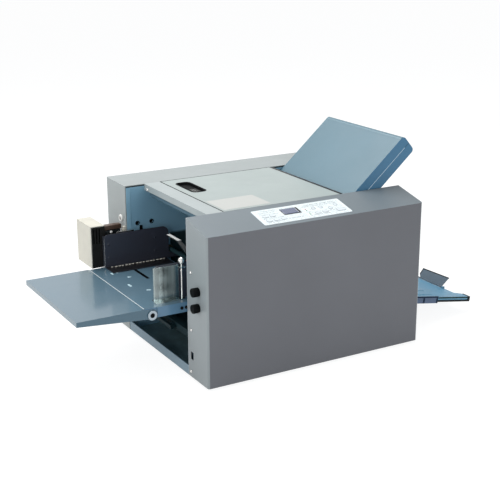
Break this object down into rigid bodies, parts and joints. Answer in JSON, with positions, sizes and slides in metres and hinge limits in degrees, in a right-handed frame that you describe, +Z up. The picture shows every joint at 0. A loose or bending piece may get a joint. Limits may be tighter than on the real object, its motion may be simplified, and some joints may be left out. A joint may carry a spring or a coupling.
{
  "type": "paper folding machine",
  "caption": "Desktop paper folding machine with a hinged feed table, side guides, an inclined fold plate, geared fold rollers, a lifting top cover and a folding exit tray with a stop wing.",
  "frame": {"origin": "on the desk, under the middle of the whole machine, feed table and exit tray included", "axes": "+X the way of the paper, from the feed table to the exit tray; +Y away from the operator; +Z up"},
  "size_m": [1.0635, 0.523, 0.4759],
  "materials": {
    "casing_grey": "satin",
    "lid_grey": "satin",
    "panel_blue": "satin",
    "frame_steel": "satin",
    "tray_blue": "satin",
    "stop_blue": "satin",
    "black_sheet": "satin",
    "black_plastic": "matte",
    "cream_plastic": "matte",
    "bright_steel": "brushed",
    "plain_steel": "brushed",
    "zinc_sheet": "satin",
    "sheet_aluminium": "satin",
    "gear_plastic": "matte",
    "belt_rubber": "matte",
    "feed_rubber": "matte",
    "foot_rubber": "matte",
    "bush_bronze": "satin",
    "panel_film": "satin",
    "display_lens": "gloss"
  },
  "bodies": {
    "machine": {"base_pan": "frame_steel", "feet": "foot_rubber", "front_frame": "frame_steel", "rear_frame": "frame_steel", "front_cover": "casing_grey", "rear_cover": "casing_grey", "cross_strip": "lid_grey", "tie_bars": "plain_steel", "hinge_rod": "plain_steel", "exit_panel": "panel_blue", "control_panel": "panel_film", "display_window": "display_lens", "power_inlet": "black_plastic", "roller_bushes": "bush_bronze", "motor": "black_sheet", "drive_belt": "belt_rubber", "feed_belt": "belt_rubber", "exit_belt": "belt_rubber", "separator_pad": "feed_rubber", "infeed_guides": "zinc_sheet", "exit_chute": "zinc_sheet"},
    "table": {"feed_table": "panel_blue", "extension_pivots": "bright_steel"},
    "extension": {"table_extension": "panel_blue"},
    "rear_guide": {"rear_guide_plate": "black_sheet", "rear_guide_bracket": "black_sheet", "guide_block": "black_plastic", "guide_block_cover": "cream_plastic"},
    "front_guide": {"front_guide_plate": "black_sheet", "front_guide_bracket": "bright_steel"},
    "guide_pin": {"front_guide_pin": "bright_steel"},
    "knob_upper": {"upper_knob": "black_plastic"},
    "knob_lower": {"lower_knob": "black_plastic"},
    "lift": {"lift_shaft": "plain_steel"},
    "feeder": {"feed_shaft": "plain_steel", "feed_tyres": "feed_rubber"},
    "separator": {"separator_lever": "bright_steel"},
    "roller_1": {"fold_roller_1": "plain_steel", "fold_gear_1": "gear_plastic"},
    "roller_2": {"fold_roller_2": "plain_steel", "fold_gear_2": "gear_plastic"},
    "roller_3": {"fold_roller_3": "plain_steel", "fold_gear_3": "gear_plastic"},
    "roller_4": {"fold_roller_4": "plain_steel", "fold_gear_4": "gear_plastic", "drive_pulley": "gear_plastic"},
    "motor_rotor": {"motor_pulley": "plain_steel"},
    "exit_rollers": {"exit_roller": "plain_steel"},
    "upper_plate": {"plate_top_shell": "panel_blue", "plate_bottom_shell": "panel_blue", "plate_channel": "sheet_aluminium"},
    "upper_stop": {"fold_stop_1": "sheet_aluminium"},
    "lower_plate": {"fold_plate_2": "sheet_aluminium"},
    "lower_stop": {"fold_stop_2": "zinc_sheet"},
    "tray": {"exit_tray": "tray_blue"},
    "tray_end": {"tray_extension": "tray_blue"},
    "tray_wing": {"tray_stop": "stop_blue"},
    "lid": {"top_cover": "lid_grey"},
    "latch": {"latch_lever": "black_plastic"},
    "rocker": {"power_rocker": "black_plastic"}
  },
  "joints": [
    {"name": "table_lift", "type": "slide", "parent": "machine", "child": "table", "axis": [0, 0, 1], "range_m": [-0.04, 0]},
    {"name": "lift_shaft_turn", "type": "hinge", "parent": "machine", "child": "lift", "pos_m": [-0.15911, -0.01, 0.121], "axis": [0, 1, 0], "range_deg": [-192, 1]},
    {"name": "extension_fold", "type": "hinge", "parent": "table", "child": "extension", "pos_m": [-0.36099, -0.01, 0.1605], "axis": [0, -1, 0], "range_deg": [0, 65]},
    {"name": "rear_guide_slide", "type": "slide", "parent": "table", "child": "rear_guide", "axis": [0, 1, 0], "range_m": [-0.095, 0.006]},
    {"name": "front_guide_slide", "type": "slide", "parent": "table", "child": "front_guide", "axis": [0, 1, 0], "range_m": [-0.006, 0.085]},
    {"name": "guide_pin_pull", "type": "slide", "parent": "front_guide", "child": "guide_pin", "axis": [0, 0, 1], "range_m": [0, 0.006], "stiffness_N_per_m": 300, "springref_m": -0.004},
    {"name": "upper_knob_turn", "type": "hinge", "parent": "machine", "child": "knob_upper", "pos_m": [-0.27799, -0.2195, 0.2144], "axis": [1, 0, 0], "range_deg": [-150, 150]},
    {"name": "lower_knob_turn", "type": "hinge", "parent": "machine", "child": "knob_lower", "pos_m": [-0.27799, -0.2195, 0.178], "axis": [1, 0, 0], "range_deg": [-150, 150]},
    {"name": "roller_4_turn", "type": "hinge", "parent": "machine", "child": "roller_4", "pos_m": [-0.00548, -0.01, 0.08084], "axis": [0, 1, 0], "continuous": true},
    {"name": "roller_3_turn", "type": "hinge", "parent": "machine", "child": "roller_3", "pos_m": [0.00147, -0.01, 0.12023], "axis": [0, 1, 0], "continuous": true},
    {"name": "roller_2_turn", "type": "hinge", "parent": "machine", "child": "roller_2", "pos_m": [-0.02424, -0.01, 0.15088], "axis": [0, 1, 0], "continuous": true},
    {"name": "roller_1_turn", "type": "hinge", "parent": "machine", "child": "roller_1", "pos_m": [-0.02773, -0.01, 0.19072], "axis": [0, 1, 0], "continuous": true},
    {"name": "feed_turn", "type": "hinge", "parent": "machine", "child": "feeder", "pos_m": [-0.16599, -0.01, 0.1948], "axis": [0, 1, 0], "continuous": true},
    {"name": "exit_turn", "type": "hinge", "parent": "machine", "child": "exit_rollers", "pos_m": [0.25201, -0.01, 0.08854], "axis": [0, 1, 0], "continuous": true},
    {"name": "motor_turn", "type": "hinge", "parent": "machine", "child": "motor_rotor", "pos_m": [0.15201, 0.1725, 0.076], "axis": [0, 1, 0], "continuous": true},
    {"name": "separator_tilt", "type": "hinge", "parent": "machine", "child": "separator", "pos_m": [-0.16599, -0.01, 0.1948], "axis": [0, 1, 0], "range_deg": [0, 25]},
    {"name": "upper_plate_slide", "type": "slide", "parent": "machine", "child": "upper_plate", "axis": [0.7547, 0, 0.6561], "range_m": [0, 0.12]},
    {"name": "upper_stop_slide", "type": "slide", "parent": "upper_plate", "child": "upper_stop", "axis": [0.7547, 0, 0.6561], "range_m": [-0.18, 0.17]},
    {"name": "lower_plate_slide", "type": "slide", "parent": "machine", "child": "lower_plate", "axis": [-0.9848, 0, -0.1736], "range_m": [0, 0.1]},
    {"name": "lower_stop_slide", "type": "slide", "parent": "lower_plate", "child": "lower_stop", "axis": [-0.9848, 0, -0.1736], "range_m": [-0.105, 0.06]},
    {"name": "tray_fold", "type": "hinge", "parent": "machine", "child": "tray", "pos_m": [0.27201, -0.01, 0.071], "axis": [0, -1, 0], "range_deg": [0, 60]},
    {"name": "tray_extend", "type": "slide", "parent": "tray", "child": "tray_end", "axis": [0.9866, 0, -0.1633], "range_m": [-0.055, 0.03]},
    {"name": "wing_tilt", "type": "hinge", "parent": "tray_end", "child": "tray_wing", "pos_m": [0.50477, -0.029, 0.04423], "axis": [0, -1, 0], "range_deg": [-45, 50]},
    {"name": "lid_lift", "type": "hinge", "parent": "machine", "child": "lid", "pos_m": [0.12141, -0.01, 0.353], "axis": [0, 1, 0], "range_deg": [0, 95]},
    {"name": "latch_pull", "type": "hinge", "parent": "lid", "child": "latch", "pos_m": [-0.13359, 0.062, 0.3575], "axis": [0, 1, 0], "range_deg": [0, 28], "stiffness_Nm_per_rad": 0.25, "springref_deg": -11.46},
    {"name": "rocker_tilt", "type": "hinge", "parent": "machine", "child": "rocker", "pos_m": [-0.21799, 0.26, 0.076], "axis": [1, 0, 0], "range_deg": [0, 16]}
  ],
  "couplings": [
    {"joint": "lift_shaft_turn", "follows": "table_lift", "rad_per_m": 83.333},
    {"joint": "roller_3_turn", "follows": "roller_4_turn", "ratio": -1},
    {"joint": "roller_2_turn", "follows": "roller_4_turn", "ratio": 1},
    {"joint": "roller_1_turn", "follows": "roller_4_turn", "ratio": -1},
    {"joint": "feed_turn", "follows": "roller_4_turn", "ratio": -1},
    {"joint": "exit_turn", "follows": "roller_4_turn", "ratio": 1},
    {"joint": "motor_turn", "follows": "roller_4_turn", "ratio": 2}
  ]
}
